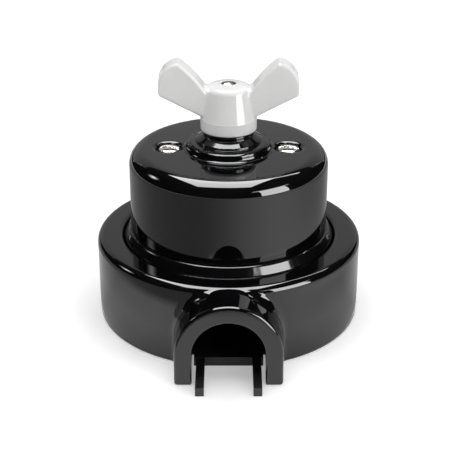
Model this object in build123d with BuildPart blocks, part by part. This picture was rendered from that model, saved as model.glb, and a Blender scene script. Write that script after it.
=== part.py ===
import os
from math import cos, radians, sin, sqrt

from build123d import *

os.makedirs("parts", exist_ok=True)

# Driving sizes, in millimetres
# The back of the plate is at Z = 0, the knob turns about Z, and the conduit leaves along -Y

# Glazed conduit base
base_h = 28.8
base_round = 2.6
rim_r = 36.8
rim_w = 9.0
rim_round = 1.4
ledge_r = 31.5
ledge_top = 24.0
ledge_t = 5.0
undercut = 1.2

# Arched conduit boss of the base
boss_reach = 10.7
boss_r = 17.5
boss_drop = 0.6
boss_blend = 3.2
boss_round = 1.2
boss_root = 1.0
tunnel_r = 11.8
tunnel_round = 0.5
tunnel_l = 20.6

# Moulded back plate
plate_t = 3.2
plate_margin = 6.4
plate_gap = 0.5
tongue_front = 44.5
tongue_gap = 0.4
prong_w = 2.8
prong_gap = 1.2
prong_front = 62.8
prong_h = 3.0
wall_hole_r = 2.25
wall_hole_spacing = 60.0
wall_sink_r = 4.4
post_r = 3.8
post_gap = 0.3
rib_t = 1.6
rib_l = 4.0
rib_h = 9.0

# Glazed switch base
base_gap = 0.4
flange_edge_h = 4.2
flange_slope_h = 3.0
flange_lip = 0.6
flange_top_round = 1.1
flange_round = 0.9
spigot_h = 2.8
spigot_gap = 0.3
cable_hole_r = 2.5
cable_hole_at = 25.0
well_gap = 0.7
well_depth = 3.5

# Glazed cover with its collar
cover_r = 34.0
cover_h = 28.4
cover_wall = 3.8
cover_top_t = 4.2
cover_round = 5.3
cover_foot_round = 0.7
cover_inner_round = 2.5
collar_h = 6.5
neck_r = 8.8
neck_foot_h = 4.7
neck_cove = 0.6
bell_r = 10.5
bell_h = 4.0
bell_round = 1.0
bell_foot_r = 11.8
bell_foot_h = 1.75
bell_cove = 0.5
bead_r = 15.3
bead_h = 0.7
bead_round = 0.5
spindle_gap = 0.7

# Cover screws
cover_screw_spacing = 40.6
cover_screw_r = 1.75
cover_head_r = 3.65
cover_head_h = 2.5
cover_head_dome = 0.9
cover_sink_gap = 0.6
cover_sink = 1.8
cover_screw_l = 10.5
slot_w = 1.1
slot_d = 1.2
thread_gap = 0.05
hole_gap = 0.4

# Butterfly knob
knob_gap = 0.3
knob_foot_r = 9.6
knob_foot_round = 0.6
knob_band_h = 4.3
knob_waist_r = 9.4
knob_mid_r = 8.35
knob_mid_h = 9.2
knob_crown_r = 7.4
knob_side_h = 14.9
knob_h = 16.2
knob_crown_round = 2.4
wing_t = 8.6
wing_tip = (16.5, 24.1)
wing_bow = (21.5, 20.7)
wing_shoulder = (23.4, 15.2)
wing_corner = (23.4, 12.8)
wing_root = (9.5, 5.5)
wing_crotch = (7.0, 13.4)
wing_inner_bow = (11.5, 19.2)
wing_tip_round = 2.2
wing_corner_round = 1.6
wing_edge_round = 1.7
knob_recess_r = 2.4
knob_recess = 1.0
knob_socket_h = 11.0

# Knob screw
knob_screw_r = 1.25
knob_head_r = 2.0
knob_head_h = 1.3
knob_head_dome = 0.5
knob_screw_l = 8.0
knob_slot_w = 0.6
knob_slot_d = 0.7

# Spindle
spindle_r = 3.5
spindle_flats = 5.0
spindle_foot_r = 4.2
pivot_r = 2.0
pivot_l = 3.0
fit_gap = 0.05
tap_l = 4.5

# Contact drum and its brass ring
drum_lift = 1.5
drum_r = 7.5
drum_h = 10.5
inlay_t = 2.0
inlay_h = 3.2
inlay_drop = 1.0
pad_h = 5.0
pad_angle = 56.0
inlay_gap = 0.02

# Detent
cam_side = 11.0
cam_round = 0.8
cam_t = 3.3
stack_gap = 0.1
leaf_t = 0.4
leaf_gap = 0.05
leaf_trim = 0.3
leaf_overhang = 1.2
leaf_hook = 1.0

# Bridge, bush and retaining ring
washer_t = 0.9
washer_r = 5.6
bridge_t = 1.2
bridge_w = 15.0
bridge_l = 50.0
ear_at = 13.0
ear_drop = 6.6
window_w = 5.2
notch_gap = 0.15
bush_r = 4.9
bush_flange_r = 6.0
bush_flange_t = 0.8
clip_t = 0.7
clip_groove = 0.6
clip_r = 5.2
clip_mouth = 3.4

# Pillars
pillar_r = 3.25
pillar_neck_r = 2.7
pillar_neck_h = 3.4
pillar_seat = 1.0

# Terminals and contact fingers
block_at = 17.5
block_l = 8.0
block_w = 7.0
block_h = 8.5
block_chamfer = 0.5
wire_hole_r = 1.6
wire_hole_h = 3.2
wire_hole_l = 5.2
clamp_at = 19.2
clamp_r = 1.5
clamp_head_r = 2.6
clamp_head_h = 1.9
clamp_dome = 0.5
clamp_lift = 0.8
under_at = 15.0
under_r = 1.5
under_head_r = 2.7
under_head_h = 1.8
under_dome = 0.4
under_grip = 4.5
finger_t = 0.6
finger_w = 5.0
finger_gap = 0.15
finger_bend = 0.7
way_finger_h = 7.0
common_jog = 1.4
common_jog_h = 8.0
common_finger_h = 10.6

# Screws from the switch base into the back plate
base_screw_at = 24.0
base_screw_angle = 112.0
base_screw_r = 1.75
base_head_r = 3.2
base_head_h = 2.2
base_dome = 0.6
base_screw_l = 22.0

# Radii that the base takes from its rim
base_r = rim_r + rim_w
hollow_r = rim_r + undercut
plate_r = base_r - plate_margin
boss_front = base_r + boss_reach

# Heights above the wall that follow from the sizes
boss_axis = base_h - boss_drop - boss_r
flange_top = ledge_top + flange_edge_h + flange_slope_h
floor_z = flange_top + spigot_h
cover_top = flange_top + cover_h
ceiling_z = cover_top - cover_top_t
collar_top = cover_top + collar_h
knob_z = collar_top + knob_gap
drum_z = floor_z + drum_lift
cam_z = drum_z + drum_h + stack_gap
washer_z = cam_z + cam_t + stack_gap
bridge_z = washer_z + washer_t + stack_gap
bridge_top = bridge_z + bridge_t
clip_z = bridge_top + bush_flange_t + stack_gap
pillar_top = bridge_top + pillar_neck_h
block_z = floor_z + finger_t
inlay_z = drum_z + drum_h - inlay_drop - inlay_h

# Radii that follow from the sizes
rebate_r = plate_r + plate_gap
flange_r = rim_r - base_gap
cover_bore = cover_r - cover_wall
spigot_r = cover_bore - spigot_gap
spindle_hole_r = spindle_r + spindle_gap

# Places in plan
half_spacing = cover_screw_spacing / 2
pillar_spots = [(half_spacing, 0), (-half_spacing, 0)]
way_1_angle = 45
way_2_angle = 135
common_angle = 225
terminal_angles = [way_1_angle, way_2_angle, common_angle]


def on_circle(radius, angles):
    """Points at the given angles on a circle about the knob's axis."""
    return [(radius * cos(radians(a)), radius * sin(radians(a))) for a in angles]


base_screw_spots = on_circle(base_screw_at, [base_screw_angle, base_screw_angle + 180])


def corner(profile, x, y):
    """The corner of a profile that lies at the given point."""
    return profile.vertices().sort_by_distance((x, y, 0))[0]


def dome_point(radius, edge_r, top, rise):
    """A point on a dome that rises by the given height from its edge to its top."""
    dome_r = (edge_r**2 + rise**2) / (2 * rise)
    return (radius, top - dome_r + sqrt(dome_r**2 - radius**2))


def slotted_screw(head_r, head_h, dome, shank_r, shank_l, slot, depth):
    """A screw with its head's seat at Z = 0, a domed and slotted head above and its shank below."""
    with BuildPart() as screw:
        with BuildSketch(Plane.XZ):
            with BuildLine():
                Polyline((0, head_h), (0, -shank_l), (shank_r, -shank_l), (shank_r, 0), (head_r, 0), (head_r, head_h - dome))
                ThreePointArc((head_r, head_h - dome), dome_point(head_r / 2, head_r, head_h, dome), (0, head_h))
            make_face()
        revolve(axis=Axis.Z)
        with BuildSketch(Plane.XY.offset(head_h - depth)):
            Rectangle(2 * head_r + slot, slot)
        extrude(amount=2 * depth, mode=Mode.SUBTRACT)
        chamfer(screw.faces().sort_by(Axis.Z)[0].edges(), shank_r / 4)
    return screw.part


def group_at(shape, spots, z):
    """Copies of one screw or pillar at several places, as one group of separate solids."""
    return Compound(children=[Pos(x, y, z) * shape for x, y in spots])


def radial_plane(angle):
    """An upright plane through the knob's axis, with its X along the given angle and its Y up."""
    along = (cos(radians(angle)), sin(radians(angle)), 0)
    across = (sin(radians(angle)), -cos(radians(angle)), 0)
    return Plane(origin=(0, 0, 0), x_dir=along, z_dir=across)


# Conduit base
# A turned ring with a ledge for the switch inside and a rebate for the plate underneath
with BuildPart() as conduit_base:
    with BuildSketch(Plane.XZ) as ring_profile:
        with BuildLine():
            Polyline(
                (rebate_r, 0),
                (base_r, 0),
                (base_r, base_h),
                (rim_r, base_h),
                (rim_r, ledge_top),
                (ledge_r, ledge_top),
                (ledge_r, ledge_top - ledge_t),
                (hollow_r, ledge_top - ledge_t),
                (hollow_r, plate_t),
                (rebate_r, plate_t),
                close=True,
            )
        make_face()
        fillet(corner(ring_profile, base_r, base_h), base_round)
        fillet(corner(ring_profile, rim_r, base_h), rim_round)
    revolve(axis=Axis.Z)
    # The arched boss grows out of the wall and blends into it
    with BuildSketch(Plane.XZ.offset(hollow_r + boss_root)):
        with BuildLine():
            Polyline((-boss_r, boss_axis), (-boss_r, 0), (boss_r, 0), (boss_r, boss_axis))
            ThreePointArc((boss_r, boss_axis), (0, boss_axis + boss_r), (-boss_r, boss_axis))
        make_face()
    extrude(amount=boss_front - hollow_r - boss_root)
    boss_zone = conduit_base.edges().filter_by_position(Axis.Y, -base_r, -base_r + base_round + boss_root)
    seams = boss_zone.filter_by(GeomType.BSPLINE) + boss_zone.filter_by(Axis.Z).filter_by_position(Axis.Z, boss_root, base_h)
    fillet(seams, boss_blend)
    boss_face = conduit_base.faces().sort_by(Axis.Y)[0]
    fillet(boss_face.edges().filter_by_position(Axis.Z, boss_root, base_h), boss_round)
    # The conduit's arched way in
    with BuildSketch(Plane.XZ.offset(boss_front)):
        with BuildLine():
            Polyline((-tunnel_r, boss_axis), (-tunnel_r, -boss_root), (tunnel_r, -boss_root), (tunnel_r, boss_axis))
            ThreePointArc((tunnel_r, boss_axis), (0, boss_axis + tunnel_r), (-tunnel_r, boss_axis))
        make_face()
    extrude(amount=-tunnel_l, mode=Mode.SUBTRACT)
    between = (boss_r + tunnel_r) / 2
    mouth = []
    for edge in conduit_base.faces().sort_by(Axis.Y)[0].edges():
        span = edge.bounding_box()
        if span.min.X > -between and span.max.X < between:
            mouth.append(edge)
    fillet(mouth, tunnel_round)
conduit_base.part.label = "conduit_base"
export_step(conduit_base.part, "parts/conduit_base.step")


# Back plate
# One moulding with the conduit prongs, the wall screw holes and a post for each base screw
with BuildPart() as back_plate:
    with BuildSketch(Plane.XY):
        Circle(plate_r)
        with Locations((0, -tongue_front / 2)):
            Rectangle(2 * (tunnel_r - tongue_gap), tongue_front)
    extrude(amount=plate_t)
    prong_x = tunnel_r - prong_gap - prong_w / 2
    with BuildSketch(Plane.XY):
        with Locations((prong_x, -(tongue_front + prong_front) / 2), (-prong_x, -(tongue_front + prong_front) / 2)):
            Rectangle(prong_w, prong_front - tongue_front)
    extrude(amount=prong_h)
    post_h = ledge_top - post_gap
    with BuildSketch(Plane.XY):
        with Locations(base_screw_spots):
            Circle(post_r)
    extrude(amount=post_h)
    for post_x, post_y in base_screw_spots:
        with BuildSketch(Plane.XZ.offset(-post_y)):
            with BuildLine():
                Polyline(
                    (post_x - post_r - rib_l, plate_t),
                    (post_x + post_r + rib_l, plate_t),
                    (post_x, plate_t + rib_h),
                    close=True,
                )
            make_face()
        extrude(amount=rib_t / 2, both=True)
    with BuildSketch(Plane.XY.offset(post_h)):
        with Locations(base_screw_spots):
            Circle(base_screw_r + thread_gap)
    extrude(amount=-base_screw_l, mode=Mode.SUBTRACT)
    with Locations(Plane.XY.offset(plate_t)):
        with GridLocations(wall_hole_spacing, 0, 2, 1):
            CounterSinkHole(wall_hole_r, wall_sink_r)
back_plate.part.label = "back_plate"
export_step(back_plate.part, "parts/back_plate.step")


# Switch base
# A glazed disc with a sloped rim, a spigot for the cover and wells for the screws underneath
with BuildPart() as switch_base:
    with BuildSketch(Plane.XZ) as disc_profile:
        with BuildLine():
            Polyline(
                (0, ledge_top),
                (flange_r, ledge_top),
                (flange_r, ledge_top + flange_edge_h),
                (cover_r + flange_lip, flange_top),
                (spigot_r, flange_top),
                (spigot_r, floor_z),
                (0, floor_z),
                close=True,
            )
        make_face()
        fillet(corner(disc_profile, flange_r, ledge_top + flange_edge_h), flange_round)
        fillet(corner(disc_profile, cover_r + flange_lip, flange_top), flange_top_round)
    revolve(axis=Axis.Z)
    with BuildSketch(Plane.XY.offset(floor_z)):
        Circle(pivot_r + fit_gap)
    extrude(amount=-pivot_l - drum_lift / 2, mode=Mode.SUBTRACT)
    with BuildSketch(Plane.XY.offset(floor_z)):
        with Locations(pillar_spots):
            Circle(pillar_r + fit_gap)
    extrude(amount=-pillar_seat, mode=Mode.SUBTRACT)
    # Screw holes, their wells and the cable holes
    under_spots = pillar_spots + on_circle(under_at, terminal_angles)
    with BuildSketch(Plane.XY.offset(ledge_top)):
        with Locations(under_spots):
            Circle(under_r + hole_gap)
        with Locations(base_screw_spots):
            Circle(base_screw_r + hole_gap)
        with Locations(on_circle(cable_hole_at, terminal_angles)):
            Circle(cable_hole_r)
    extrude(amount=floor_z - ledge_top, mode=Mode.SUBTRACT)
    with BuildSketch(Plane.XY.offset(ledge_top)):
        with Locations(under_spots):
            Circle(under_head_r + well_gap)
    extrude(amount=well_depth, mode=Mode.SUBTRACT)
switch_base.part.label = "switch_base"
export_step(switch_base.part, "parts/switch_base.step")


# Cover
# A thrown cap whose collar is a small bell under the knob, standing on a thin round-edged disc
with BuildPart() as cover:
    with BuildSketch(Plane.XZ) as cap_profile:
        with BuildLine():
            Polyline(
                (cover_r, cover_top),
                (cover_r, flange_top),
                (cover_bore, flange_top),
                (cover_bore, ceiling_z),
                (spindle_hole_r, ceiling_z),
                (spindle_hole_r, collar_top),
                (neck_r, collar_top),
                (neck_r, cover_top + neck_foot_h),
                (bell_r, cover_top + bell_h),
                (bell_foot_r, cover_top + bell_foot_h),
                (bead_r, cover_top + bead_h),
                (bead_r, cover_top),
                close=True,
            )
        make_face()
        fillet(corner(cap_profile, cover_r, cover_top), cover_round)
        fillet(corner(cap_profile, cover_r, flange_top), cover_foot_round)
        fillet(corner(cap_profile, cover_bore, ceiling_z), cover_inner_round)
        fillet(corner(cap_profile, neck_r, cover_top + neck_foot_h), neck_cove)
        fillet(corner(cap_profile, bell_r, cover_top + bell_h), bell_round)
        fillet(corner(cap_profile, bell_foot_r, cover_top + bell_foot_h), bell_cove)
        fillet(corner(cap_profile, bead_r, cover_top + bead_h), bead_round)
    revolve(axis=Axis.Z)
    with Locations(Plane.XY.offset(cover_top)):
        with GridLocations(cover_screw_spacing, 0, 2, 1):
            CounterBoreHole(cover_screw_r + hole_gap, cover_head_r + cover_sink_gap, cover_sink, cover_top_t)
cover.part.label = "cover"
export_step(cover.part, "parts/cover.step")


# Cover screws
cover_screw = slotted_screw(cover_head_r, cover_head_h, cover_head_dome, cover_screw_r, cover_screw_l, slot_w, slot_d)
cover_screws = group_at(cover_screw, pillar_spots, cover_top - cover_sink)
cover_screws.label = "cover_screws"
export_step(cover_screws, "parts/cover_screws.step")


# Pillars
# Turned brass, stepped for the bridge and bored at both ends for screws
with BuildPart() as pillar:
    pillar_z = floor_z - pillar_seat
    with BuildSketch(Plane.XZ):
        with BuildLine():
            Polyline(
                (0, pillar_z),
                (pillar_r, pillar_z),
                (pillar_r, bridge_z),
                (pillar_neck_r, bridge_z),
                (pillar_neck_r, pillar_top),
                (0, pillar_top),
                close=True,
            )
        make_face()
    revolve(axis=Axis.Z)
    with BuildSketch(Plane.XY.offset(pillar_top)):
        Circle(cover_screw_r + thread_gap)
    extrude(amount=-cover_screw_l, mode=Mode.SUBTRACT)
    with BuildSketch(Plane.XY.offset(pillar_z)):
        Circle(under_r + thread_gap)
    extrude(amount=under_grip + hole_gap, mode=Mode.SUBTRACT)
pillars = group_at(pillar.part, pillar_spots, 0)
pillars.label = "pillars"
export_step(pillars, "parts/pillars.step")


# Screws under the switch base, for the pillars and for the terminals
under_seat = ledge_top + well_depth
pillar_screw_l = pillar_z + under_grip - under_seat
pillar_screw = slotted_screw(under_head_r, under_head_h, under_dome, under_r, pillar_screw_l, slot_w, slot_d)
pillar_screws = group_at(Rot(180, 0, 0) * pillar_screw, pillar_spots, under_seat)
pillar_screws.label = "pillar_screws"
export_step(pillar_screws, "parts/pillar_screws.step")

block_screw_l = block_z + under_grip - under_seat
block_screw = slotted_screw(under_head_r, under_head_h, under_dome, under_r, block_screw_l, slot_w, slot_d)
block_screws = group_at(Rot(180, 0, 0) * block_screw, on_circle(under_at, terminal_angles), under_seat)
block_screws.label = "block_screws"
export_step(block_screws, "parts/block_screws.step")


# Base screws
# They pull the back plate and the switch base together with the conduit base between
base_screw = slotted_screw(base_head_r, base_head_h, base_dome, base_screw_r, base_screw_l, slot_w, slot_d)
base_screws = group_at(base_screw, base_screw_spots, floor_z)
base_screws.label = "base_screws"
export_step(base_screws, "parts/base_screws.step")


# Bridge
# Pressed strap with an ear lanced down at each side, slotted for the two leaf springs
leaf_y = cam_side / 2 + leaf_gap + leaf_t / 2
leaf_h = cam_t - leaf_trim
with BuildPart() as bridge:
    with BuildSketch(Plane.XY.offset(bridge_z)):
        SlotOverall(bridge_l, bridge_w)
        Circle(bush_r + inlay_gap, mode=Mode.SUBTRACT)
        with Locations(pillar_spots):
            Circle(pillar_neck_r + fit_gap, mode=Mode.SUBTRACT)
        with Locations((ear_at - window_w / 2, 0), (-ear_at + window_w / 2, 0)):
            Rectangle(window_w, bridge_w - 2 * bridge_t, mode=Mode.SUBTRACT)
    extrude(amount=bridge_t)
    with BuildSketch(Plane.XY.offset(bridge_top)):
        with Locations((ear_at, 0), (-ear_at, 0)):
            Rectangle(bridge_t, bridge_w - 2 * bridge_t)
    extrude(amount=-ear_drop)
    with BuildSketch(Plane.YZ):
        with Locations((leaf_y, cam_z + leaf_h / 2), (-leaf_y, cam_z + leaf_h / 2)):
            Rectangle(leaf_t + 2 * notch_gap, leaf_h + 2 * notch_gap)
    extrude(amount=bridge_l, both=True, mode=Mode.SUBTRACT)
bridge.part.label = "bridge"
export_step(bridge.part, "parts/bridge.step")


# Bush in the bridge for the spindle
with BuildPart() as spindle_bush:
    with BuildSketch(Plane.XY.offset(bridge_z)):
        Circle(bush_r)
        Circle(spindle_r + fit_gap, mode=Mode.SUBTRACT)
    extrude(amount=bridge_t)
    with BuildSketch(Plane.XY.offset(bridge_top)):
        Circle(bush_flange_r)
        Circle(spindle_r + fit_gap, mode=Mode.SUBTRACT)
    extrude(amount=bush_flange_t)
spindle_bush.part.label = "spindle_bush"
export_step(spindle_bush.part, "parts/spindle_bush.step")


# Leaf springs on two flats of the cam, hooked behind the bridge's ears
def detent_leaf(side):
    """One leaf of spring steel on the given side of the cam."""
    leaf_half = ear_at + bridge_t / 2 + leaf_overhang
    with BuildPart() as leaf:
        with BuildSketch(Plane.XY.offset(cam_z)):
            with BuildLine():
                FilletPolyline(
                    (-leaf_half, side * (leaf_y - leaf_hook)),
                    (-leaf_half, side * leaf_y),
                    (leaf_half, side * leaf_y),
                    (leaf_half, side * (leaf_y - leaf_hook)),
                    radius=leaf_t,
                )
            trace(line_width=leaf_t)
        extrude(amount=leaf_h)
    return leaf.part


for leaf_name, side in (("detent_spring_front", -1), ("detent_spring_back", 1)):
    spring = detent_leaf(side)
    spring.label = leaf_name
    export_step(spring, f"parts/{leaf_name}.step")


# Terminals
# A brass block for each wire, clamped on its contact finger by a screw from below
def terminal_block(angle):
    """The wire clamp block at the given angle."""
    with BuildPart() as block:
        with BuildSketch(radial_plane(angle)):
            with Locations((block_at, block_z + block_h / 2)):
                Rectangle(block_l, block_h)
        extrude(amount=block_w / 2, both=True)
        chamfer(block.edges().filter_by(Axis.Z), block_chamfer)
        outward = radial_plane(angle).x_dir
        mouth = outward * (block_at + block_l / 2) + Vector(0, 0, block_z + wire_hole_h)
        with BuildSketch(Plane(origin=mouth, z_dir=outward)):
            Circle(wire_hole_r)
        extrude(amount=-wire_hole_l, mode=Mode.SUBTRACT)
        with BuildSketch(Plane.XY.offset(block_z + block_h)):
            with Locations(on_circle(clamp_at, [angle])):
                Circle(clamp_r + thread_gap)
        extrude(amount=-(block_h - wire_hole_h), mode=Mode.SUBTRACT)
        with BuildSketch(Plane.XY.offset(block_z)):
            with Locations(on_circle(under_at, [angle])):
                Circle(under_r + thread_gap)
        extrude(amount=under_grip + hole_gap, mode=Mode.SUBTRACT)
    return block.part


for block_name, angle in (
    ("terminal_way_1", way_1_angle),
    ("terminal_way_2", way_2_angle),
    ("terminal_common", common_angle),
):
    terminal = terminal_block(angle)
    terminal.label = block_name
    export_step(terminal, f"parts/{block_name}.step")

clamp_l = clamp_lift + block_h - wire_hole_h
clamp_screw = slotted_screw(clamp_head_r, clamp_head_h, clamp_dome, clamp_r, clamp_l, slot_w, slot_d)
terminal_screws = group_at(clamp_screw, on_circle(clamp_at, terminal_angles), block_z + block_h + clamp_lift)
terminal_screws.label = "terminal_screws"
export_step(terminal_screws, "parts/terminal_screws.step")


# Contact fingers
# Bent bronze strips: the two ways touch the pads, and the common finger touches the ring above them
def contact_finger(angle, path):
    """A strip bent along the given path, which starts under the terminal."""
    with BuildPart() as finger:
        with BuildSketch(radial_plane(angle)):
            with BuildLine():
                FilletPolyline(*path, radius=finger_bend)
            trace(line_width=finger_t)
        extrude(amount=finger_w / 2, both=True)
        with BuildSketch(Plane.XY.offset(floor_z)):
            with Locations(on_circle(under_at, [angle])):
                Circle(under_r + hole_gap)
        extrude(amount=finger_t, mode=Mode.SUBTRACT)
    return finger.part


finger_out = block_at + block_l / 2
finger_z = floor_z + finger_t / 2
touch_r = drum_r + finger_gap + finger_t / 2
way_path = [(finger_out, finger_z), (touch_r, finger_z), (touch_r, floor_z + way_finger_h)]
common_path = [
    (finger_out, finger_z),
    (touch_r + common_jog, finger_z),
    (touch_r + common_jog, floor_z + common_jog_h - common_jog),
    (touch_r, floor_z + common_jog_h),
    (touch_r, floor_z + common_finger_h),
]
for finger_name, angle, path in (
    ("finger_way_1", way_1_angle, way_path),
    ("finger_way_2", way_2_angle, way_path),
    ("finger_common", common_angle, common_path),
):
    finger = contact_finger(angle, path)
    finger.label = finger_name
    export_step(finger, f"parts/{finger_name}.step")


# Contact ring
# A brass slip ring with two opposite pads that hang below it
with BuildPart() as contact_ring:
    with BuildSketch(Plane.XY.offset(inlay_z)):
        Circle(drum_r)
        Circle(drum_r - inlay_t, mode=Mode.SUBTRACT)
    extrude(amount=inlay_h)
    for pad in (way_1_angle, common_angle):
        with BuildSketch(radial_plane(pad - pad_angle / 2)):
            with Locations((drum_r - inlay_t / 2, inlay_z - pad_h / 2)):
                Rectangle(inlay_t, pad_h)
        revolve(axis=Axis.Z, revolution_arc=pad_angle)
contact_ring.part.label = "contact_ring"
export_step(contact_ring.part, "parts/contact_ring.step")


# Contact drum
# Moulded insulator with the ring's bed in its side and a square bore
with BuildPart() as contact_drum:
    bed_t = inlay_t + inlay_gap
    with BuildSketch(Plane.XY.offset(drum_z)):
        Circle(drum_r)
        Rectangle(spindle_flats + 2 * fit_gap, spindle_flats + 2 * fit_gap, mode=Mode.SUBTRACT)
    extrude(amount=drum_h)
    with BuildSketch(Plane.XY.offset(inlay_z - inlay_gap)):
        Circle(drum_r + inlay_gap)
        Circle(drum_r - bed_t, mode=Mode.SUBTRACT)
    extrude(amount=inlay_h + 2 * inlay_gap, mode=Mode.SUBTRACT)
    for pad in (way_1_angle, common_angle):
        with BuildSketch(radial_plane(pad - pad_angle / 2 - fit_gap * 4)):
            with Locations((drum_r - bed_t / 2 + inlay_gap, inlay_z - (pad_h + inlay_gap) / 2)):
                Rectangle(bed_t + 2 * inlay_gap, pad_h + inlay_gap)
        revolve(axis=Axis.Z, revolution_arc=pad_angle + fit_gap * 8, mode=Mode.SUBTRACT)
contact_drum.part.label = "contact_drum"
export_step(contact_drum.part, "parts/contact_drum.step")


# Detent cam
with BuildPart() as detent_cam:
    with BuildSketch(Plane.XY.offset(cam_z)) as cam_outline:
        RectangleRounded(cam_side, cam_side, cam_round)
        Rectangle(spindle_flats + 2 * fit_gap, spindle_flats + 2 * fit_gap, mode=Mode.SUBTRACT)
    extrude(amount=cam_t)
detent_cam.part.label = "detent_cam"
export_step(detent_cam.part, "parts/detent_cam.step")


# Thrust washer between the cam and the bridge
with BuildPart() as thrust_washer:
    with BuildSketch(Plane.XY.offset(washer_z)):
        Circle(washer_r)
        Circle(spindle_r + fit_gap, mode=Mode.SUBTRACT)
    extrude(amount=washer_t)
thrust_washer.part.label = "thrust_washer"
export_step(thrust_washer.part, "parts/thrust_washer.step")


# Spindle
# Steel bar, squared for the drum and the cam and again for the knob, round in the bush and the cover
with BuildPart() as spindle:
    spindle_top = knob_z + knob_socket_h - hole_gap
    with BuildSketch(Plane.XY.offset(floor_z - pivot_l)):
        Circle(pivot_r)
    extrude(amount=pivot_l + stack_gap)
    with BuildSketch(Plane.XY.offset(floor_z + stack_gap)):
        Circle(spindle_foot_r)
    extrude(amount=drum_lift - 2 * stack_gap)
    with BuildSketch(Plane.XY.offset(floor_z + drum_lift - stack_gap)):
        Circle(spindle_r)
        Rectangle(spindle_flats, spindle_flats, mode=Mode.INTERSECT)
    extrude(amount=washer_z - floor_z - drum_lift + stack_gap)
    with BuildSketch(Plane.XY.offset(washer_z)):
        Circle(spindle_r)
    extrude(amount=knob_z - washer_z)
    with BuildSketch(Plane.XY.offset(knob_z)):
        Circle(spindle_r)
        Rectangle(spindle_flats, spindle_flats, mode=Mode.INTERSECT)
    extrude(amount=spindle_top - knob_z)
    with BuildSketch(Plane.XY.offset(clip_z)):
        Circle(spindle_r + fit_gap)
        Circle(spindle_r - clip_groove, mode=Mode.SUBTRACT)
    extrude(amount=clip_t + stack_gap, mode=Mode.SUBTRACT)
    with BuildSketch(Plane.XY.offset(spindle_top)):
        Circle(knob_screw_r + thread_gap)
    extrude(amount=-tap_l, mode=Mode.SUBTRACT)
spindle.part.label = "spindle"
export_step(spindle.part, "parts/spindle.step")


# Retaining ring in the spindle's groove
with BuildPart() as retaining_ring:
    with BuildSketch(Plane.XY.offset(clip_z)):
        Circle(clip_r)
        Circle(spindle_r - clip_groove + fit_gap, mode=Mode.SUBTRACT)
        with Locations((clip_r / 2, 0)):
            Rectangle(clip_r, clip_mouth, mode=Mode.SUBTRACT)
    extrude(amount=clip_t)
retaining_ring.part.label = "retaining_ring"
export_step(retaining_ring.part, "parts/retaining_ring.step")


# One wing of the knob, seen from the front
with BuildPart() as wing:
    with BuildSketch(Plane.XZ.offset(-wing_t / 2)) as wing_outline:
        root_slope = (wing_corner[1] - wing_root[1]) / (wing_corner[0] - wing_root[0])
        inside_x = spindle_r
        with BuildLine():
            Polyline(
                (wing_crotch[0], knob_z + wing_crotch[1]),
                (inside_x, knob_z + wing_crotch[1]),
                (inside_x, knob_z + wing_root[1] - root_slope * (wing_root[0] - inside_x)),
                (wing_corner[0], knob_z + wing_corner[1]),
                (wing_shoulder[0], knob_z + wing_shoulder[1]),
            )
            ThreePointArc(
                (wing_shoulder[0], knob_z + wing_shoulder[1]),
                (wing_bow[0], knob_z + wing_bow[1]),
                (wing_tip[0], knob_z + wing_tip[1]),
            )
            ThreePointArc(
                (wing_tip[0], knob_z + wing_tip[1]),
                (wing_inner_bow[0], knob_z + wing_inner_bow[1]),
                (wing_crotch[0], knob_z + wing_crotch[1]),
            )
        make_face()
        fillet(corner(wing_outline, wing_tip[0], knob_z + wing_tip[1]), wing_tip_round)
        fillet(corner(wing_outline, wing_corner[0], knob_z + wing_corner[1]), wing_corner_round)
    extrude(amount=wing_t)
    wing_sides = wing.faces().filter_by(Plane.XZ)
    outer_edges = wing_sides.edges().filter_by(lambda e: e.center().X > inside_x + wing_edge_round)
    fillet(outer_edges, wing_edge_round)


# Knob
# One glazed piece: a tapered body on a short band, with a wing at each side and a screw recess on top
with BuildPart() as knob:
    crown_z = knob_z + knob_side_h
    with BuildSketch(Plane.XZ) as body_profile:
        with BuildLine():
            Polyline(
                (0, knob_z + knob_h),
                (0, knob_z),
                (knob_foot_r, knob_z),
                (knob_foot_r, knob_z + knob_band_h),
                (knob_waist_r, knob_z + knob_band_h),
            )
            ThreePointArc(
                (knob_waist_r, knob_z + knob_band_h),
                (knob_mid_r, knob_z + knob_mid_h),
                (knob_crown_r, crown_z),
            )
            ThreePointArc(
                (knob_crown_r, crown_z),
                dome_point(knob_crown_r / 2, knob_crown_r, knob_z + knob_h, knob_h - knob_side_h),
                (0, knob_z + knob_h),
            )
        make_face()
        fillet(corner(body_profile, knob_foot_r, knob_z), knob_foot_round)
        fillet(corner(body_profile, knob_crown_r, crown_z), knob_crown_round)
    revolve(axis=Axis.Z)
    add(wing.part)
    mirror(wing.part, about=Plane.YZ)
    with BuildSketch(Plane.XY.offset(knob_z + knob_h - knob_recess)):
        Circle(knob_recess_r)
    extrude(amount=2 * knob_recess, mode=Mode.SUBTRACT)
    with BuildSketch(Plane.XY.offset(knob_z + knob_h)):
        Circle(knob_screw_r + hole_gap)
    extrude(amount=-knob_h, mode=Mode.SUBTRACT)
    with BuildSketch(Plane.XY.offset(knob_z)):
        Rectangle(spindle_flats + 2 * fit_gap, spindle_flats + 2 * fit_gap)
    extrude(amount=knob_socket_h, mode=Mode.SUBTRACT)
knob.part.label = "knob"
export_step(knob.part, "parts/knob.step")


# Knob screw
knob_seat = knob_z + knob_h - knob_recess
knob_screw = Pos(0, 0, knob_seat) * slotted_screw(
    knob_head_r, knob_head_h, knob_head_dome, knob_screw_r, knob_screw_l, knob_slot_w, knob_slot_d
)
knob_screw.label = "knob_screw"
export_step(knob_screw, "parts/knob_screw.step")
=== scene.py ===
import math

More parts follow.
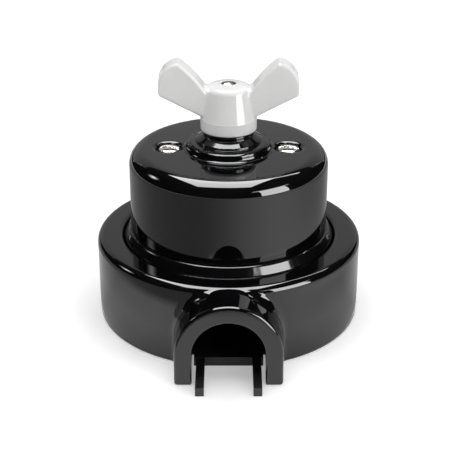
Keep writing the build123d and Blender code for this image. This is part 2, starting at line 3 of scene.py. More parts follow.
import bmesh
import bpy
import numpy as np
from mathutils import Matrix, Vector


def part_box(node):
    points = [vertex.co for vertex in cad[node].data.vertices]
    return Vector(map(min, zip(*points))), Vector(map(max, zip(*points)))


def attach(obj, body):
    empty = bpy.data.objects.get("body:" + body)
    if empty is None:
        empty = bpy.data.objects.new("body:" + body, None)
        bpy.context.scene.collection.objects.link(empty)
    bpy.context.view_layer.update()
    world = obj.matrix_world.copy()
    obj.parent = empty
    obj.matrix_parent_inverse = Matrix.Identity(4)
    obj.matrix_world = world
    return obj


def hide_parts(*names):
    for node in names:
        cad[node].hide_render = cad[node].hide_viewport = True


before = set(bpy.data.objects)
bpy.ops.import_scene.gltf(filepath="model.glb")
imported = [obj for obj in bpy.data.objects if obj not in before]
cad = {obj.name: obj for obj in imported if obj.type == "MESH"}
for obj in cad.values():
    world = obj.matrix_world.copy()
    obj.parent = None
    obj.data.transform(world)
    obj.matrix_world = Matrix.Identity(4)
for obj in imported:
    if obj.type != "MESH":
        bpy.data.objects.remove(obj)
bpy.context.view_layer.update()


# Back plate
# The plate that closes the back, with the two prongs that lie beside the conduit. It is moulded
# in black plastic with a fine satin skin, and carries the posts for the long screws.
MM = 0.001


class Tone:
    """One output of a shader node, used in sums like a number: each operation adds its Math node."""

    def __init__(self, tree, socket=None):
        self.tree = tree
        self.socket = socket

    def node(self, kind, settings=(), inputs=(), out=0):
        """A new node: first its settings, then the values or links of its sockets. Gives one output."""
        made = self.tree.nodes.new(kind)
        for name, value in dict(settings).items():
            setattr(made, name, value)
        for name, value in dict(inputs).items():
            if isinstance(value, Tone):
                self.tree.links.new(value.socket, made.inputs[name])
            else:
                made.inputs[name].default_value = value
        if made.outputs:
            return Tone(self.tree, made.outputs[out])

    def maths(self, operation, first, second=0.0):
        return self.node("ShaderNodeMath", {"operation": operation}, {0: first, 1: second})

    def __add__(self, other):
        return self.maths("ADD", self, other)

    __radd__ = __add__

    def __mul__(self, other):
        return self.maths("MULTIPLY", self, other)

    __rmul__ = __mul__

    def __sub__(self, other):
        return self.maths("SUBTRACT", self, other)

    def __rsub__(self, other):
        return self.maths("SUBTRACT", other, self)

    def vectors(self, operation, first, second=(0.0, 0.0, 0.0), out=0):
        """Vector Math. Its output 1 is the number that a length or a dot product gives."""
        return self.node("ShaderNodeVectorMath", {"operation": operation}, {0: first, 1: second}, out)

    def between(self, low, high, to_low=0.0, to_high=1.0):
        """The stretch from low to high, spread over another and held at its ends."""
        ends = {0: self, 1: low, 2: high, 3: to_low, 4: to_high}
        return self.node("ShaderNodeMapRange", {"clamp": True}, ends)

    def tint(self, first, second):
        """A colour that goes from the first to the second as this value goes from 0 to 1."""
        return self.node("ShaderNodeMix", {"data_type": "RGBA"}, {0: self, 6: first, 7: second}, out=2)

    def noise(self, place, size, detail=2.0):
        """Cloudy noise whose lumps are about the given size in millimetres."""
        sockets = {"Vector": place, "Scale": 1 / MM / size, "Detail": detail}
        return self.node("ShaderNodeTexNoise", {}, sockets)

    def relief(self, height, depth):
        """The surface's normal, with the given height field raised by a depth in millimetres."""
        return self.node("ShaderNodeBump", {}, {"Height": height, "Distance": depth * MM, "Strength": 1.0})


def finish(name, make, **fixed):
    """A material: make(tone, place) gives what varies over it, and the rest is set as it is."""
    material = bpy.data.materials.new(name)
    material.use_nodes = True
    material.node_tree.nodes.clear()
    tone = Tone(material.node_tree)
    place = tone.node("ShaderNodeTexCoord", out=3)
    inputs = {key.replace("_", " "): value for key, value in fixed.items()}
    inputs.update(make(tone, place))
    shader = tone.node("ShaderNodeBsdfPrincipled", {}, inputs)
    tone.node("ShaderNodeOutputMaterial", {}, {"Surface": shader})
    return material


def dress(material, *names):
    """Puts a material on CAD parts, in every slot that they have."""
    for name in names:
        slots = cad[name].data.materials
        if not slots:
            slots.append(material)
        for index in range(len(slots)):
            slots[index] = material


def moulded_plastic(tone, place):
    grain = tone.noise(place, 0.35, 3.0)
    cloud = tone.noise(place, 7.0)
    return {
        "Base Color": cloud.tint((0.007, 0.007, 0.008, 1.0), (0.014, 0.014, 0.015, 1.0)),
        "Roughness": cloud.between(0.3, 0.7, 0.24, 0.34) + grain * 0.05,
        "Normal": tone.relief(grain, 0.006),
    }


dress(finish("black_plastic", moulded_plastic, IOR=1.45), "back_plate")


# Conduit base
# The round foot of the switch, with the arched boss for the conduit. It is porcelain under black
# glaze, so every edge that shows has a soft roll. It stands open on the wall and covers the plate.
base_low, base_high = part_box("conduit_base")
base_r = base_high[0]
base_h = base_high[2]
base_roll = 2.6 * MM
base_foot_roll = 0.6 * MM
boss_front = -base_low[1]
boss_r = 17.5 * MM
boss_drop = 0.6 * MM
boss_axis = base_h - boss_drop - boss_r
boss_back = 38.0 * MM
boss_blend = 3.4 * MM
boss_roll = 1.2 * MM
tunnel_r = 11.8 * MM
tunnel_l = 20.6 * MM
tunnel_roll = 0.5 * MM
rim_r = 36.8 * MM
rim_roll = 1.4 * MM
ledge_top = 24.0 * MM
ledge_bottom = 19.0 * MM
ledge_r = 31.5 * MM
hollow_r = 38.0 * MM
rebate_r = base_r - 5.9 * MM
rebate_h = 3.2 * MM
settle_rounds = 7
longest_move = 0.6 * MM
least_slope = 0.2


def joined(a, b, roll, cosine=0.0):
    """Two bodies as one, with a hollow fillet where they meet. The cosine is that of their normals."""
    c = np.minimum(cosine, 0.998)
    u, w = roll - a, roll - b
    ball = np.sqrt(np.maximum(u * u + w * w - 2 * c * u * w, 0) / (1 - c * c))
    return np.where((u > c * w) & (w > c * u), roll - ball, np.minimum(a, b))


def within(a, b, roll, cosine=0.0):
    """What lies in both bodies, with the edge between them rolled over by the given radius."""
    return -joined(-a, -b, roll, cosine)


def lean(shape, points, step=2e-5):
    """The way in which a shape's distance grows, from four places round each point."""
    total = np.zeros_like(points)
    for way in ((1, -1, -1), (-1, -1, 1), (-1, 1, -1), (1, 1, 1)):
        way = np.array(way, float)
        total += shape(points + way * step)[:, None] * way
    return total / (4 * step)


def arch(x, z, radius):
    """Distance from an arch that stands on the wall: round above its axis, straight below."""
    return np.where(z > boss_axis, np.hypot(x, z - boss_axis), np.abs(x)) - radius


def base_drum(points):
    x, y, z = points.T
    return within(np.hypot(x, y) - base_r, z - base_h, base_roll)


def base_boss(points):
    x, y, z = points.T
    return np.maximum(within(arch(x, z, boss_r), -y - boss_front, boss_roll), y + boss_back)


def base_shape(points):
    x, y, z = points.T
    r = np.hypot(x, y)
    meeting = np.clip((lean(base_drum, points) * lean(base_boss, points)).sum(1), -1, 1)
    body = joined(base_drum(points), base_boss(points), boss_blend, meeting)
    body = within(body, -z, base_foot_roll)
    body = within(body, -np.maximum(r - rim_r, ledge_top - z), rim_roll)
    body = within(body, -np.maximum(arch(x, z, tunnel_r), y + boss_front - tunnel_l), tunnel_roll)
    for bore, top in ((ledge_r, base_h), (hollow_r, ledge_bottom), (rebate_r, rebate_h)):
        body = np.maximum(body, -np.maximum(r - bore, z - top))
    return body


def skin(node, shape, pitch, fine=None):
    """A skin for a part: its CAD mesh made even, split finer where fine says, and drawn onto the shape."""
    rough = bpy.data.objects.new("rough_" + node, cad[node].data.copy())
    bpy.context.scene.collection.objects.link(rough)
    even = rough.modifiers.new("even", "REMESH")
    even.mode = "VOXEL"
    even.voxel_size = pitch * MM
    bpy.context.view_layer.update()
    mesh = bpy.data.meshes.new_from_object(rough.evaluated_get(bpy.context.evaluated_depsgraph_get()))
    bpy.data.objects.remove(rough)
    if fine:
        net = bmesh.new()
        net.from_mesh(mesh)
        edges = [edge for edge in net.edges if fine(*((edge.verts[0].co + edge.verts[1].co) / 2))]
        bmesh.ops.subdivide_edges(net, edges=edges, cuts=1, use_grid_fill=True)
        net.to_mesh(mesh)
        net.free()
    points = np.empty(len(mesh.vertices) * 3)
    mesh.vertices.foreach_get("co", points)
    points = points.reshape(-1, 3)
    for _ in range(settle_rounds):
        way = lean(shape, points)
        move = shape(points)[:, None] * way / np.maximum((way**2).sum(1), least_slope)[:, None]
        length = np.maximum(np.linalg.norm(move, axis=1), 1e-9)[:, None]
        points = points - move * np.minimum(1, longest_move / length)
    mesh.vertices.foreach_set("co", points.ravel())
    way = lean(shape, points)
    way /= np.maximum(np.linalg.norm(way, axis=1), 1e-9)[:, None]
    mesh.polygons.foreach_set("use_smooth", [True] * len(mesh.polygons))
    mesh.normals_split_custom_set_from_vertices(way)
    mesh.name = node + "_skin"
    mesh.materials.clear()
    piece = bpy.data.objects.new(node + "_skin", mesh)
    bpy.context.scene.collection.objects.link(piece)
    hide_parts(node)
    return piece


def black_glaze(tone, place):
    pool = tone.noise(place, 9.0, 3.0)
    swell = tone.noise(place, 11.0, 1.0)
    ripple = tone.noise(place, 2.6, 1.0)
    return {
        "Base Color": pool.tint((0.0015, 0.0015, 0.002, 1.0), (0.0035, 0.0035, 0.004, 1.0)),
        "Roughness": pool.between(0.3, 0.7, 0.02, 0.05),
        "Normal": tone.relief(swell + ripple * 0.2, 0.0025),
    }


black = finish("black_glaze", black_glaze, IOR=1.5)
base = skin("conduit_base", base_shape, 0.55)
base.data.materials.append(black)
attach(base, "housing")


# Base screws
# Two long zinc plated screws that go up through the switch base into the back plate's posts, so
# that the glazed base is clamped between them.
def zinc_plate(tone, place):
    bloom = tone.noise(place, 2.0, 4.0)
    return {
        "Base Color": bloom.tint((0.42, 0.43, 0.45, 1.0), (0.6, 0.6, 0.58, 1.0)),
        "Roughness": bloom.between(0.3, 0.7, 0.2, 0.42),
        "Normal": tone.relief(tone.noise(place, 0.25, 2.0), 0.006),
    }


zinc = finish("zinc_plate", zinc_plate, Metallic=1.0)
dress(zinc, "base_screws")


# Switch base
# The glazed porcelain disc that carries the works. Its sloped rim shows in the groove between the
# cover and the conduit base. The glaze was wiped thin there, which leaves fine streaks across it.
def wiped_glaze(tone, place):
    x, y = (tone.node("ShaderNodeSeparateXYZ", {}, {0: place}, out=axis) for axis in ("X", "Y"))
    round_it = tone.node("ShaderNodeCombineXYZ", {}, {"X": tone.maths("ARCTAN2", y, x) * base_r})
    streak = tone.noise(round_it, 0.7, 3.0)
    return {
        "Base Color": streak.tint((0.0015, 0.0015, 0.002, 1.0), (0.0045, 0.0045, 0.005, 1.0)),
        "Roughness": streak.between(0.35, 0.7, 0.03, 0.16),
        "Normal": tone.relief(streak, 0.0015),
    }


dress(finish("wiped_black_glaze", wiped_glaze, IOR=1.5), "switch_base")


# Terminals
# Three brass wire clamps, sawn from bar and tumbled, each held down by a zinc plated screw from
# under the switch base, with a clamp screw for the wire.
def tumbled_brass(tone, place):
    stain = tone.noise(place, 2.5, 4.0)
    return {
        "Base Color": stain.tint((0.58, 0.40, 0.15, 1.0), (0.76, 0.57, 0.27, 1.0)),
        "Roughness": stain.between(0.3, 0.7, 0.16, 0.36),
        "Normal": tone.relief(tone.noise(place, 0.5, 3.0), 0.008),
    }


brass = finish("tumbled_brass", tumbled_brass, Metallic=1.0)
dress(brass, "terminal_common", "terminal_way_1", "terminal_way_2")
dress(zinc, "terminal_screws", "block_screws")


# Contact fingers
# Three springs bent from rolled bronze strip, clamped under the terminals. The rolling leaves fine
# lines along the strip.
def rolled_bronze(tone, place):
    lines = tone.noise(tone.vectors("MULTIPLY", place, (1.0, 1.0, 8.0)), 1.2, 4.0)
    return {
        "Base Color": lines.tint((0.56, 0.33, 0.16, 1.0), (0.74, 0.47, 0.26, 1.0)),
        "Roughness": lines.between(0.3, 0.7, 0.2, 0.4),
        "Normal": tone.relief(lines, 0.006),
    }


dress(finish("rolled_bronze", rolled_bronze, Metallic=1.0), "finger_common", "finger_way_1", "finger_way_2")


# Spindle and drum
# A squared steel spindle carries a drum moulded in brown phenolic, with the brass slip ring set
# flush in it. A hardened square cam and a brass washer lie on top, under the spring ring.
def brown_moulding(tone, place):
    flow = tone.noise(place, 4.0, 4.0)
    return {
        "Base Color": flow.tint((0.055, 0.025, 0.012, 1.0), (0.12, 0.055, 0.025, 1.0)),
        "Roughness": flow.between(0.3, 0.7, 0.22, 0.38),
        "Normal": tone.relief(tone.noise(place, 0.6, 3.0), 0.008),
    }


def drawn_steel(tone, place):
    lines = tone.noise(tone.vectors("MULTIPLY", place, (6.0, 6.0, 1.0)), 1.5)
    return {
        "Base Color": lines.tint((0.4, 0.4, 0.41, 1.0), (0.56, 0.56, 0.56, 1.0)),
        "Roughness": lines.between(0.3, 0.7, 0.2, 0.34),
        "Normal": tone.relief(lines, 0.004),
    }


dress(finish("drawn_steel", drawn_steel, Metallic=1.0), "spindle", "detent_cam", "retaining_ring")
dress(finish("brown_moulding", brown_moulding, IOR=1.55), "contact_drum")
dress(brass, "contact_ring", "thrust_washer")


# Bridge
# A pressed and zinc plated steel strap over the drum, screwed to two turned brass pillars. Its
# lanced ears hold the two leaf springs of the click, and a brass bush guides the spindle.
dress(zinc, "bridge", "pillar_screws", "detent_spring_front", "detent_spring_back")
dress(brass, "pillars", "spindle_bush")


# Cover
# A cap of black glazed porcelain with a well rounded shoulder, pressed in a mould. Its collar is a
# bell under the knob on a round-edged disc, and glaze softens the two screw recesses.
cover_low, cover_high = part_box("cover")
cover_r = cover_high[0] / MM
cover_foot = cover_low[2] / MM
collar_top = cover_high[2] / MM
cover_top = collar_top - 6.5
ceiling = cover_top - 4.2
inside_r = 30.2
disc_r, disc_top = 14.5, cover_top + 2.6
bell_r, bell_foot, bell_top = 11.3, cover_top + 2.8, cover_top + 3.5
neck_r, neck_foot = 8.8, cover_top + 5.1
spindle_hole_r = 4.2
crisp = 0.05
sink_at = 20.3 * MM
sink_r = 4.25 * MM
sink_depth = 1.8 * MM
sink_roll = 1.75 * MM
screw_hole_r = 2.15 * MM


def outline(corners):
    """Straight runs and round turns of a closed outline, inside on its left, in metres.

    Its corners (x, y, rounding) are in millimetres.
    """
    runs, turns, ends = [], [], []
    for index, (x, y, roll) in enumerate(corners):
        here = np.array((x, y), float)
        back = np.array(corners[index - 1][:2], float) - here
        on = np.array(corners[(index + 1) % len(corners)][:2], float) - here
        back, on = back / np.linalg.norm(back), on / np.linalg.norm(on)
        half = 0.5 * math.acos(float(back @ on))
        inward = (back + on) / np.linalg.norm(back + on)
        middle = (here + inward * roll / math.sin(half)) * MM
        bend = 1 if on[0] * back[1] - on[1] * back[0] > 0 else -1
        turns.append((*middle, roll * MM, *-inward, math.sin(half), bend))
        ends.append((here + back * roll / math.tan(half), here + on * roll / math.tan(half)))
    for (_, start), (stop, _) in zip(ends, ends[1:] + ends[:1]):
        length = np.linalg.norm(stop - start)
        runs.append((*start * MM, *(stop - start) / length, length * MM))
    return runs, turns


def flat_distance(edge, x, y):
    """Distance from a closed outline, below 0 inside it."""
    nearest = np.full(x.shape, np.inf)
    for ax, ay, ex, ey, length in edge[0]:
        px, py = x - ax, y - ay
        along = px * ex + py * ey
        side = px * ey - py * ex
        here = np.hypot(along - np.clip(along, 0, length), side) * np.where(side < 0, -1, 1)
        nearest = np.where(np.abs(here) < np.abs(nearest), here, nearest)
    for mx, my, roll, bx, by, spread, bend in edge[1]:
        px, py = x - mx, y - my
        reach = np.hypot(px, py)
        here = np.where(px * bx + py * by >= reach * spread, (reach - roll) * bend, np.inf)
        nearest = np.where(np.abs(here) < np.abs(nearest), here, nearest)
    return nearest


cap_edge = outline([
    (cover_r, cover_foot, 0.7),
    (cover_r, cover_top, 5.3),
    (disc_r, cover_top, 1.3),
    (disc_r, disc_top, 0.8),
    (bell_r, bell_foot, 0.2),
    (bell_r, bell_top, 0.3),
    (neck_r, neck_foot, 0.3),
    (neck_r, collar_top, 0.3),
    (spindle_hole_r, collar_top, crisp),
    (spindle_hole_r, ceiling, crisp),
    (inside_r, ceiling, 2.5),
    (inside_r, cover_foot, crisp),
])


def cover_shape(points):
    x, y, z = points.T
    from_screw = np.hypot(np.abs(x) - sink_at, y)
    sink = np.maximum(from_screw - sink_r, cover_top * MM - sink_depth - z)
    cap = within(flat_distance(cap_edge, np.hypot(x, y), z), -sink, sink_roll)
    return np.maximum(cap, screw_hole_r - from_screw)


def by_the_collar(x, y, z):
    return z > (cover_top - 0.3) * MM and (x * x + y * y < ((disc_r + 2.5) * MM) ** 2)


cover = skin("cover", cover_shape, 0.6, by_the_collar)
cover.data.materials.append(black)
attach(cover, "housing")


# Cover screws
# Two slotted screws with domed heads that stand in the cover's recesses and go down into the
# pillars. They are turned from steel, with a broken edge round the head, and bright nickel plated.
screw_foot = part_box("cover_screws")[0][2]
seat = cover_top * MM - sink_depth
slot_turn = math.radians(-9)
cover_head = {"radius": 3.55 * MM, "top": 1.95 * MM, "side": 1.3 * MM,
              "slot_half": 0.6 * MM, "slot_depth": 1.2 * MM, "edge": 0.3 * MM}
cover_shank_r = 1.75 * MM
cover_shank_top = seat + 0.5 * MM


def turned(x, y, angle):
    """How far a place lies along and across a slot that is turned by the angle."""
    return x * math.cos(angle) + y * math.sin(angle), y * math.cos(angle) - x * math.sin(angle)


def slotted_head(along, across, up, radius, top, side, slot_half, slot_depth, edge):
    """A domed head that stands on height 0, with its slot running along."""
    r = np.hypot(across, along)
    dome_r = (radius**2 + (top - side) ** 2) / (2 * (top - side))
    dome = np.hypot(r, up - top + dome_r) - dome_r
    head = np.maximum(within(r - radius, dome, edge, radius / dome_r), -up)
    return within(head, -np.maximum(np.abs(across) - slot_half, top - slot_depth - up), edge / 3)


def shank(x, y, z, radius, foot, top):
    return np.maximum(np.hypot(x, y) - radius, np.maximum(z - top, foot - z))


def cover_screw_shape(points):
    x, y, z = points.T
    x = x - np.sign(x) * sink_at
    head = slotted_head(*turned(x, y, slot_turn), z - seat, **cover_head)
    return np.minimum(head, shank(x, y, z, cover_shank_r, screw_foot, cover_shank_top))


def bright_nickel(tone, place):
    wear = tone.noise(place, 1.2, 3.0)
    return {
        "Base Color": wear.tint((0.66, 0.645, 0.62, 1.0), (0.78, 0.765, 0.74, 1.0)),
        "Roughness": wear.between(0.3, 0.7, 0.03, 0.08),
        "Normal": tone.relief(wear, 0.001),
    }


nickel = finish("bright_nickel", bright_nickel, Metallic=1.0)
cover_screws = skin("cover_screws", cover_screw_shape, 0.22)
cover_screws.data.materials.append(nickel)
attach(cover_screws, "housing")


# Knob
# The butterfly knob is one piece of white glazed porcelain, pressed in a mould: a tapered body on
# a short band, and two thick flat wings with rolled edges. The bore for its screw is rough bare
# porcelain, and its colour is painted near black as shade in the recess.
knob_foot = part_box("knob")[0][2]
band_r, band_h = 9.55 * MM, 4.3 * MM
band_roll = 0.08 * MM
band_foot_roll = 0.6 * MM
side_r = 9.47 * MM
side_taper = 0.2143
side_hollow = 0.00447 / MM
side_end = 9.2 * MM
side_cosine = 0.98
crown_ball = 21.72 * MM
crown_drop = 5.52 * MM
crown_roll = 2.4 * MM
crown_cosine = 0.51
wing_half = 4.3 * MM
wing_start = 3.0 * MM
wing_roll = 1.1 * MM
wing_tip_roll = 1.6 * MM
wing_corner_roll = 0.5 * MM
wing_corner_cosine = -0.5
wing_hollow = 1.2 * MM
wing_end = 23.6
tip_x, tip_z = 16.6, 23.85
under_x, under_z = 9.5, 5.5
under_end_z = 12.8
under = math.atan2(under_end_z - under_z, wing_end - under_x)
bore_r = 2.5 * MM
bore_roll = 0.25 * MM
bore_floor = 15.2 * MM
knob_hole_r = 1.65 * MM
square_half = 2.55 * MM
square_top = 11.0 * MM
fine_low, fine_high = 3.7 * MM, 4.9 * MM
fine_bore_r, fine_bore_z = 3.2 * MM, 15 * MM


def ring_through(a, b, c):
    """Middle and radius of the circle through three points given in millimetres."""
    (ax, ay), (bx, by), (cx, cy) = a, b, c
    d = 2 * (ax * (by - cy) + bx * (cy - ay) + cx * (ay - by))
    a2, b2, c2 = ax * ax + ay * ay, bx * bx + by * by, cx * cx + cy * cy
    x = (a2 * (by - cy) + b2 * (cy - ay) + c2 * (ay - by)) / d
    y = (a2 * (cx - bx) + b2 * (ax - cx) + c2 * (bx - ax)) / d
    return x * MM, y * MM, math.hypot(ax - x, ay - y) * MM


def tip_way(bow):
    """The way out of a bow at the wing's tip."""
    return np.array((tip_x * MM - bow[0], tip_z * MM - bow[1])) / bow[2]


outer_bow = ring_through((wing_end, 15.2), (22.1, 20.6), (tip_x, tip_z))
inner_bow = ring_through((tip_x, tip_z), (11.5, 19.2), (7.0, 13.4))
tip_meeting = float(tip_way(outer_bow) @ tip_way(inner_bow))


def wing_shape(points):
    x, y, z = points.T
    dx, dz = x - outer_bow[0], z - outer_bow[1]
    out = np.hypot(np.maximum(dx, 0), np.maximum(dz, 0)) + np.minimum(np.maximum(dx, dz), 0) - outer_bow[2]
    inn = np.hypot(x - inner_bow[0], z - inner_bow[1]) - inner_bow[2]
    below = (x - under_x * MM) * math.sin(under) - (z - under_z * MM) * math.cos(under)
    corner = within(below, x - wing_end * MM, wing_tip_roll, math.sin(under))
    bows = within(out, inn, wing_tip_roll, tip_meeting)
    flat = within(bows, corner, wing_corner_roll, wing_corner_cosine)
    return np.maximum(within(flat, np.abs(y) - wing_half, wing_roll), wing_start - x)


def knob_body(points):
    x, y, z = points.T
    r = np.hypot(x, y)
    up = z - band_h
    side = side_r - up * side_taper + up * (z - side_end) * side_hollow
    crown = np.hypot(r, z + crown_drop) - crown_ball
    upper = within((r - side) * side_cosine, crown, crown_roll, crown_cosine)
    upper = np.maximum(upper, band_h - 0.1 * MM - z)
    band = within(within(r - band_r, z - band_h, band_roll), -z, band_foot_roll)
    return joined(upper, band, band_roll)


def knob_shape(points):
    place = points - np.array((0.0, 0.0, knob_foot))
    place[:, 0] = np.abs(place[:, 0])
    meeting = np.clip((lean(knob_body, place) * lean(wing_shape, place)).sum(1), -1, 1)
    knob = joined(knob_body(place), wing_shape(place), wing_hollow, meeting)
    x, y, z = place.T
    r = np.hypot(x, y)
    knob = within(knob, -np.maximum(r - bore_r, bore_floor - z), bore_roll)
    knob = np.maximum(knob, knob_hole_r - r)
    square = np.maximum(x, np.abs(y)) - square_half
    return np.maximum(knob, -np.maximum(square, z - square_top))


def by_band_or_bore(x, y, z):
    up = z - knob_foot
    return fine_low < up < fine_high or (up > fine_bore_z and x * x + y * y < fine_bore_r**2)


def from_axis(tone, place):
    """How far a place lies from the knob's axis."""
    flat = tone.vectors("MULTIPLY", place, (1.0, 1.0, 0.0))
    return tone.vectors("LENGTH", flat, out=1)


def white_glaze(tone, place):
    pool = tone.noise(place, 7.0, 3.0)
    ripple = tone.noise(place, 3.0, 1.0)
    glaze = pool.tint((0.83, 0.83, 0.825, 1.0), (0.87, 0.87, 0.865, 1.0))
    # Painted shade: inside the screw's bore the colour is painted near black for the shade in the recess,
    # and the roughness rises there as on bare porcelain.
    outside_painted_bore_shade = from_axis(tone, place).between(bore_r - 0.05 * MM, bore_r + 0.1 * MM)
    return {
        "Base Color": outside_painted_bore_shade.tint((0.004, 0.004, 0.004, 1.0), glaze),
        "Roughness": pool.between(0.3, 0.7, 0.07, 0.11) + (1 - outside_painted_bore_shade) * 0.6,
        "Normal": tone.relief(ripple, 0.003),
    }


knob = skin("knob", knob_shape, 0.3, by_band_or_bore)
knob.data.materials.append(finish("white_glaze", white_glaze, IOR=1.39))
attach(knob, "knob_body")


# Knob screw
# A small slotted screw in the knob's crown, domed and nickel plated as the cover screws are. It
# goes down into the spindle and holds the knob on its square.
knob_screw_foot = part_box("knob_screw")[0][2]
knob_seat = knob_foot + bore_floor
knob_slot_turn = 0.5
knob_head = {"radius": 1.8 * MM, "top": 0.75 * MM, "side": 0.35 * MM,
             "slot_half": 0.3 * MM, "slot_depth": 0.5 * MM, "edge": 0.2 * MM}
knob_shank_r = 1.25 * MM
knob_shank_top = knob_seat + 0.2 * MM


def knob_screw_shape(points):
    x, y, z = points.T
    head = slotted_head(*turned(x, y, knob_slot_turn), z - knob_seat, **knob_head)
    return np.minimum(head, shank(x, y, z, knob_shank_r, knob_screw_foot, knob_shank_top))


knob_screw = skin("knob_screw", knob_screw_shape, 0.15)
knob_screw.data.materials.append(nickel)
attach(knob_screw, "knob_body")


# Studio floor
# A pale paper floor that turns up into a low wall all round the object, on which it casts a soft
# shadow. The camera, glaze and metal see the paper as white.
floor_r = 0.95
floor_turn = 0.25
floor_rise = 0.5
turn_steps = 12
floor_sides = 96
paper_glow = 0.34


def row(radius, height, sides):
    """A closed row of points round the knob's axis."""
    turns = [2 * math.pi * j / sides for j in range(sides)]
    return [(radius * math.cos(turn), radius * math.sin(turn), height) for turn in turns]


def between_rows(rows, sides):
    """The faces between closed rows of points that follow each other."""
    faces = []
    for first in range(0, (rows - 1) * sides, sides):
        for j in range(sides):
            k = (j + 1) % sides
            faces.append([first + j, first + k, first + sides + k, first + sides + j])
    return faces


def stage_mesh(name, corners, faces, material):
    mesh = bpy.data.meshes.new(name)
    mesh.from_pydata(corners, [], faces)
    mesh.materials.append(material)
    obj = bpy.data.objects.new(name, mesh)
    bpy.context.scene.collection.objects.link(obj)
    return obj


def stage_material(name, make):
    material = bpy.data.materials.new(name)
    material.use_nodes = True
    material.node_tree.nodes.clear()
    tone = Tone(material.node_tree)
    shader = make(tone, tone.node("ShaderNodeTexCoord", out=3))
    tone.node("ShaderNodeOutputMaterial", {}, {"Surface": shader})
    return material


def paper(tone, place):
    fibre = tone.noise(place, 1.5).tint((0.79, 0.79, 0.79, 1.0), (0.82, 0.82, 0.82, 1.0))
    rays = ("Is Camera Ray", "Is Glossy Ray", "Is Transmission Ray")
    camera, glossy, through = (tone.node("ShaderNodeLightPath", out=ray) for ray in rays)
    lit = tone.node("ShaderNodeBsdfDiffuse", {}, {"Color": fibre})
    glow = tone.node("ShaderNodeEmission", {}, {"Strength": paper_glow})
    both = tone.node("ShaderNodeAddShader", {}, {0: lit, 1: glow})
    return tone.node("ShaderNodeMixShader", {}, {0: camera + glossy + through, 1: lit, 2: both})


profile = [(floor_r - floor_turn, 0.0)]
for i in range(1, turn_steps + 1):
    a = 0.5 * math.pi * i / turn_steps
    profile.append((floor_r - floor_turn + floor_turn * math.sin(a), floor_turn * (1 - math.cos(a))))
profile.append((floor_r, floor_rise))
floor_points = [point for radius, height in profile for point in row(radius, height, floor_sides)]
floor_faces = [list(range(floor_sides))] + between_rows(len(profile), floor_sides)
floor = stage_mesh("studio_floor", floor_points, floor_faces, stage_material("pale_paper", paper))
floor.data.polygons.foreach_set("use_smooth", [False] + [True] * (len(floor_faces) - 1))


# Studio cards
# What the glaze reflects, as glowing cards that paint its reflections: a sheet on the floor, a grey
# card behind the object, bright soft boxes above and beside it, and a dark card all round that
# paints the reflected paper wall dark. Only reflections show them. They light no matte surface
# and cast no shadow.
dark = (0.0, 0.0, 0.0, 1.0)
bright = (1.0, 1.0, 1.0, 1.0)
card_at = 0.66
overhead_at = 1.05
sheet_h = 0.3 * MM
sheet_in, sheet_out = 47.0 * MM, 420.0 * MM
# Where the painted shadow round the base begins and where it has faded out.
painted_shadow_in, painted_shadow_out = 46.0 * MM, 62.0 * MM
far_low, far_high = 79.0 * MM, 86.0 * MM
sheet_strength = 1.5
boss_spread = 0.42
boss_gap = 0.2 * MM
left_reach = 0.13
# The dark ring card that only reflections see, which paints the reflected paper wall dark.
dark_ring_at = 0.69
dark_ring_sides = 36
dark_ring_front = 2.4
dark_ring_front_h, dark_ring_back_h = 0.45, 0.072


def card(name, corners, strength, shade=None, faces=((0, 1, 2, 3),)):
    """A card that only reflections show, white or in the colour that shade(tone, place) gives."""
    def shine(tone, place):
        sockets = {"Strength": strength}
        if shade:
            sockets["Color"] = shade(tone, place)
        return tone.node("ShaderNodeEmission", {}, sockets)
    obj = stage_mesh("card_" + name, corners, faces, stage_material("card_" + name, shine))
    obj.visible_camera = False
    obj.visible_diffuse = False
    obj.visible_transmission = False
    obj.visible_shadow = False


def out_at(azimuth, elevation, distance):
    """A place at a distance from the axis, an azimuth right of the conduit's side and an elevation."""
    a = math.radians(azimuth)
    return Vector((math.sin(a), -math.cos(a), math.tan(math.radians(elevation)))) * distance


def standing(azimuth, spread, low, high, distance):
    """Corners of an upright card that faces the axis, between two elevations."""
    a = math.radians(azimuth)
    side = Vector((math.cos(a), math.sin(a), 0.0)) * distance * math.tan(math.radians(spread / 2))
    foot, head = out_at(azimuth, low, distance), out_at(azimuth, high, distance)
    return [foot - side, foot + side, head + side, head - side]


def hanging(left, right, front, back):
    """Corners of a level card above the object."""
    corners = ((left, front), (right, front), (right, back), (left, back))
    return [(x, y, overhead_at) for x, y in corners]


def off_front(x, y):
    """The angle between a place's direction and the conduit's."""
    return math.atan2(abs(x), -y)


def floor_sheet(tone, place):
    """A painted reflection of the floor: near the object it is brightest in front, with a painted shadow
    close round the base, and further out it is brightest at the front's right.
    """
    way = tone.vectors("NORMALIZE", tone.vectors("MULTIPLY", place, (1.0, 1.0, 0.0)))
    right = tone.vectors("DOT_PRODUCT", way, (0.707, -0.707, 0.0), out=1).between(0.0, 1.0)
    front = tone.vectors("DOT_PRODUCT", way, (0.0, -1.0, 0.0), out=1)
    reach = from_axis(tone, place)
    # Painted shadow: close round the base the sheet's glow is painted darker, as the object's shadow on the
    # floor.
    near = front.between(0.1, 0.7, 0.67, 1.46) * reach.between(painted_shadow_in, painted_shadow_out, 0.6, 1.0)
    far = right * right * right * 1.08 + 0.42
    there = (reach - front.between(0.86, 0.96) * 0.02).between(far_low, far_high)
    return ((near * (1 - there) + far * there) * (1 / sheet_strength)).tint(dark, bright)


def soft_middle(tone, place):
    """The shine falls off round the middle of the left card."""
    away = tone.vectors("SUBTRACT", place, tuple(out_at(-101.0, 31.0, card_at)))
    fall = tone.vectors("LENGTH", away, out=1).between(0.0, left_reach, 1.0, 0.0)
    return (fall * fall).tint(dark, bright)


# Painted reflection: this near black glow paints the reflected paper wall dark where the glaze would show
# it white.
def painted_dark_reflection(tone, place):
    return tone.noise(place, 2.0).tint((0.01, 0.01, 0.01, 1.0), (0.02, 0.02, 0.02, 1.0))


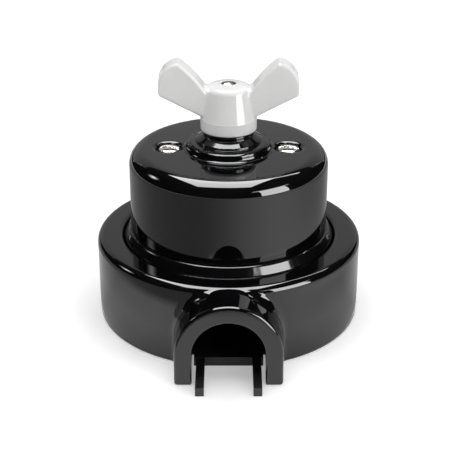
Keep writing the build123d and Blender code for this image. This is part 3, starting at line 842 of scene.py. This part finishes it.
sheet_row = []
for x, y, z in row(1.0, sheet_h, floor_sides):
    start = sheet_in
    if off_front(x, y) <= boss_spread:
        start = (boss_front + boss_gap) / math.cos(off_front(x, y))
    sheet_row.append((x * start, y * start, z))
sheet_points = sheet_row + row(sheet_out, sheet_h, floor_sides)
card("floor", sheet_points, sheet_strength, floor_sheet, between_rows(2, floor_sides))
card("back", standing(180.0, 100.0, 6.0, 44.0, 0.7), 0.47)
card("overhead", hanging(-0.46, 0.32, -0.32, 0.75), 13.0)
card("overhead_edge", hanging(0.32, 0.75, 0.62, 0.75), 9.0)
card("right", standing(52.0, 48.0, 3.0, 37.0, card_at), 13.0)
card("left", standing(-99.0, 34.0, 16.0, 46.0, card_at), 20.0, soft_middle)
# A dark ring card all round, seen only in reflections: a painted dark reflection over the paper wall.
hem = row(dark_ring_at, 1 * MM, dark_ring_sides)
hung = [(x, y, dark_ring_front_h if off_front(x, y) < dark_ring_front else dark_ring_back_h) for x, y, z in hem]
card("dark_ring", hem + hung, 1.0, painted_dark_reflection, between_rows(2, dark_ring_sides))


# Studio lamps
# One large soft lamp overhead, a second at the right and a weak one from the front, at a level at
# which a colour comes out as it is written. The room beyond the paper is dim.
aim = Vector((0.0, 0.0, 0.04))


def soft_lamp(name, azimuth, elevation, distance, width, depth, radiance):
    lamp = bpy.data.lights.new("lamp_" + name, "AREA")
    lamp.shape = "RECTANGLE"
    lamp.size = width
    lamp.size_y = depth
    lamp.energy = radiance * width * depth * math.pi
    obj = bpy.data.objects.new("lamp_" + name, lamp)
    bpy.context.scene.collection.objects.link(obj)
    a, e = math.radians(azimuth), math.radians(elevation)
    out = Vector((math.sin(a) * math.cos(e), -math.cos(a) * math.cos(e), math.sin(e)))
    obj.location = aim + out * distance
    obj.rotation_euler = (-out).to_track_quat("-Z", "Y").to_euler()
    obj.visible_glossy = False


soft_lamp("overhead", 180.0, 84.0, 1.0, 1.1, 0.9, 3.3)
soft_lamp("right", 52.0, 22.0, 0.95, 0.7, 0.5, 2.4)
soft_lamp("front", -18.0, 32.0, 1.15, 1.2, 1.0, 0.45)

world = bpy.data.worlds.new("dim_room")
bpy.context.scene.world = world
world.use_nodes = True
world.node_tree.nodes.clear()
air = Tone(world.node_tree)
dim = air.node("ShaderNodeBackground", {}, {"Strength": 0.04})
air.node("ShaderNodeOutputWorld", {}, {"Surface": dim})


# Camera
# It stands in front of the conduit boss and looks down at 25 degrees, as in the photograph, from
# a place at which its lens gives the photograph's framing.
camera = bpy.data.cameras.new("camera")
camera.lens = 94.77
camera.sensor_width = 36.0
camera.shift_x = 0.003
camera.clip_start = 0.01
view = bpy.data.objects.new("camera", camera)
bpy.context.scene.collection.objects.link(view)
view.location = (0.0, -0.3852, 0.2102)
view.rotation_euler = (math.radians(64.72), 0.0, 0.0)
bpy.context.scene.camera = view
bpy.context.scene.view_settings.view_transform = "Standard"
